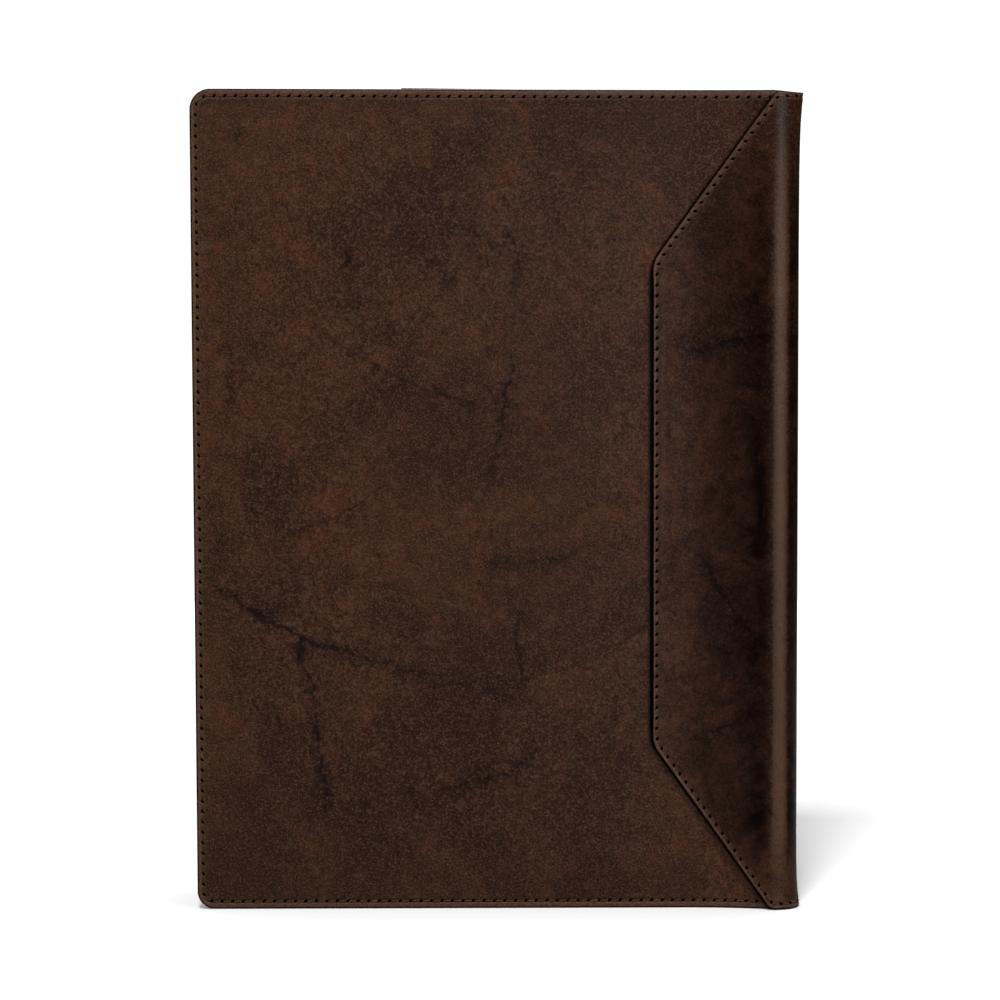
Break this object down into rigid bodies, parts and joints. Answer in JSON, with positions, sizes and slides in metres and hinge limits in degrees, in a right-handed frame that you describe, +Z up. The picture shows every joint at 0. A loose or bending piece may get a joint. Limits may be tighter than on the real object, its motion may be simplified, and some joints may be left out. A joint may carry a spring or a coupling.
{
  "type": "leather document case",
  "caption": "Slim upright leather document case like a book: two stiff leather covers, a rolled spine wrap lapping on to both as a trapezoid, and an inner pocket.",
  "frame": {"origin": "middle of the footprint, on the surface that the case stands on", "axes": "+X to the spine, -Y out of the back panel that the picture shows, +Z up to the top edge"},
  "size_m": [0.2388, 0.0448, 0.3238],
  "materials": {
    "panel_leather": "dark chocolate pull-up leather, marbled, satin, dark painted edges",
    "wrap_leather": "dark chocolate pull-up leather, polished where it rolls round the spine",
    "pocket_leather": "matt brown leather"
  },
  "bodies": {
    "root": {"back_panel": "panel_leather", "front_panel": "panel_leather", "spine_wrap": "wrap_leather", "inner_pocket": "pocket_leather"}
  },
  "joints": []
}
